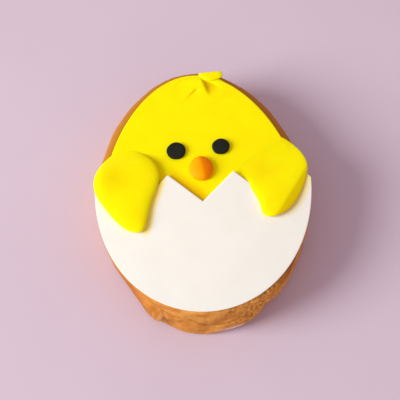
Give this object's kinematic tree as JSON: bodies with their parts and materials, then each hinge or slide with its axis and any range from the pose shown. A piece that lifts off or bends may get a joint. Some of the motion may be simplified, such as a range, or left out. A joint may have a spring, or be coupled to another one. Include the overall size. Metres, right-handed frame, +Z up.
{
  "type": "easter cookie",
  "caption": "Egg-shaped gingerbread cookie that lies face up, topped with a yellow fondant chick hatching from a white eggshell with a zigzag edge.",
  "frame": {"origin": "middle of the footprint, on the flat underside that the cookie lies on", "axes": "+Z up out of the decorated face, +Y from the egg's blunt end to its pointed end, +X to the right as the face is seen"},
  "size_m": [0.0675, 0.0868, 0.0191],
  "materials": {
    "gingerbread": "dry, uneven baked dough",
    "yellow_fondant": "smooth soft satin",
    "white_fondant": "smooth soft satin",
    "black_fondant": "smooth matte",
    "orange_fondant": "smooth soft satin"
  },
  "bodies": {
    "root": {"cookie": "gingerbread", "chick_body": "yellow_fondant", "egg_shell": "white_fondant", "wing_left": "yellow_fondant", "wing_right": "yellow_fondant", "eye_left": "black_fondant", "eye_right": "black_fondant", "beak": "orange_fondant", "tuft": "yellow_fondant"}
  },
  "joints": []
}
